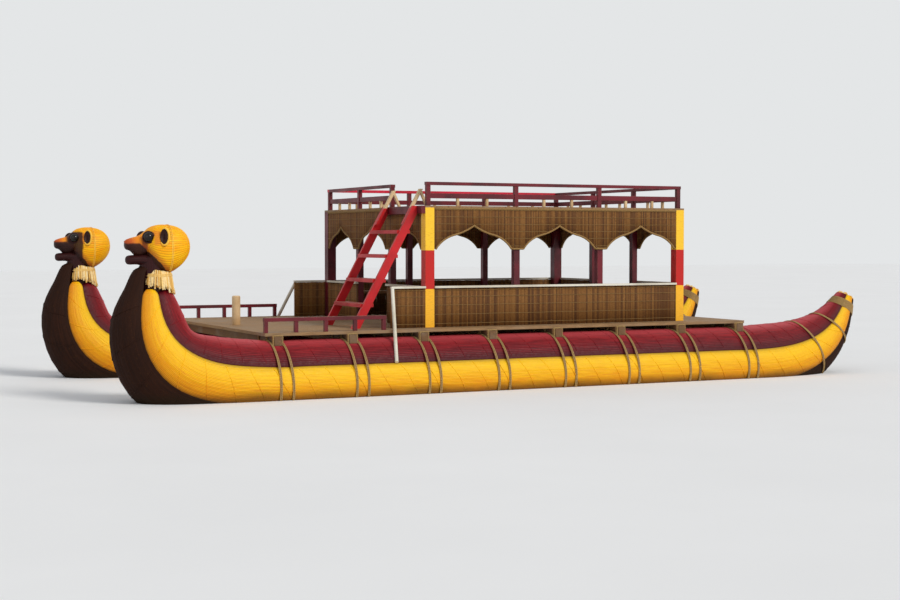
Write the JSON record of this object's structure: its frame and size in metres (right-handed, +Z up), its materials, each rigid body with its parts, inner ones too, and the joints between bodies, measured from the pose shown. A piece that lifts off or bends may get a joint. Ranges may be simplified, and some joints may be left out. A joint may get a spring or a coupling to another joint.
{
  "type": "double-hulled reed boat with puma prows, whole vehicle at full size",
  "caption": "Double-hulled totora reed boat with two puma-headed prows, an open cabin with arched reed mats and a raised viewing deck.",
  "frame": {"origin": "on the waterline, on the centreline, amidships", "axes": "+X towards the bow, +Y to port, +Z up"},
  "size_m": [11.9111, 5.4052, 3.3443],
  "materials": {
    "hull_dark": "dull wrapped reeds",
    "hull_yellow": "painted wrapped reeds",
    "hull_maroon": "painted wrapped reeds",
    "collar_straw": "dry trimmed reed ends",
    "puma_yellow": "painted bound reeds",
    "puma_dark": "painted bound reeds",
    "eye": "gloss",
    "beam_wood": "weathered timber",
    "deck_wood": "weathered boards",
    "maroon_paint": "oil paint on timber",
    "banded_paint": "oil paint on timber, in bands",
    "red_paint": "oil paint on timber",
    "reed_mat": "sewn reed mat",
    "pale_wood": "pale painted poles"
  },
  "bodies": {
    "root": {"port_keel_bundle": "hull_dark", "starboard_keel_bundle": "hull_dark", "port_outer_bundle": "hull_yellow", "port_inner_bundle": "hull_yellow", "starboard_outer_bundle": "hull_yellow", "starboard_inner_bundle": "hull_yellow", "port_top_bundle": "hull_maroon", "starboard_top_bundle": "hull_maroon", "port_collar": "collar_straw", "starboard_collar": "collar_straw", "port_skull": "puma_yellow", "starboard_skull": "puma_yellow", "port_muzzle": "puma_yellow", "starboard_muzzle": "puma_yellow", "port_jaw": "puma_dark", "starboard_jaw": "puma_dark", "port_ears": "puma_dark", "starboard_ears": "puma_dark", "port_eyes": "eye", "starboard_eyes": "eye", "cross_beams": "beam_wood", "upper_deck_frame": "beam_wood", "deck_boards": "deck_wood", "upper_deck_boards": "deck_wood", "port_bench": "deck_wood", "starboard_bench": "deck_wood", "cabin_posts": "maroon_paint", "stair_header": "maroon_paint", "rail_posts": "maroon_paint", "top_rail": "maroon_paint", "mid_rails": "maroon_paint", "port_foredeck_rail": "maroon_paint", "starboard_foredeck_rail": "maroon_paint", "front_banded_post": "banded_paint", "aft_banded_post": "banded_paint", "stair_stringers": "red_paint", "stair_treads": "red_paint", "starboard_top_rail": "red_paint", "front_valance": "reed_mat", "aft_valance": "reed_mat", "port_valance": "reed_mat", "starboard_valance": "reed_mat", "front_low_wall": "reed_mat", "aft_low_wall": "reed_mat", "port_low_wall": "reed_mat", "starboard_low_wall": "reed_mat", "port_cap_rail": "pale_wood", "starboard_cap_rail": "pale_wood", "front_cap_rail": "pale_wood", "aft_cap_rail": "pale_wood", "port_prop": "pale_wood", "starboard_prop": "pale_wood", "grab_rails": "pale_wood", "balusters": "pale_wood", "mooring_post": "pale_wood"}
  },
  "joints": []
}
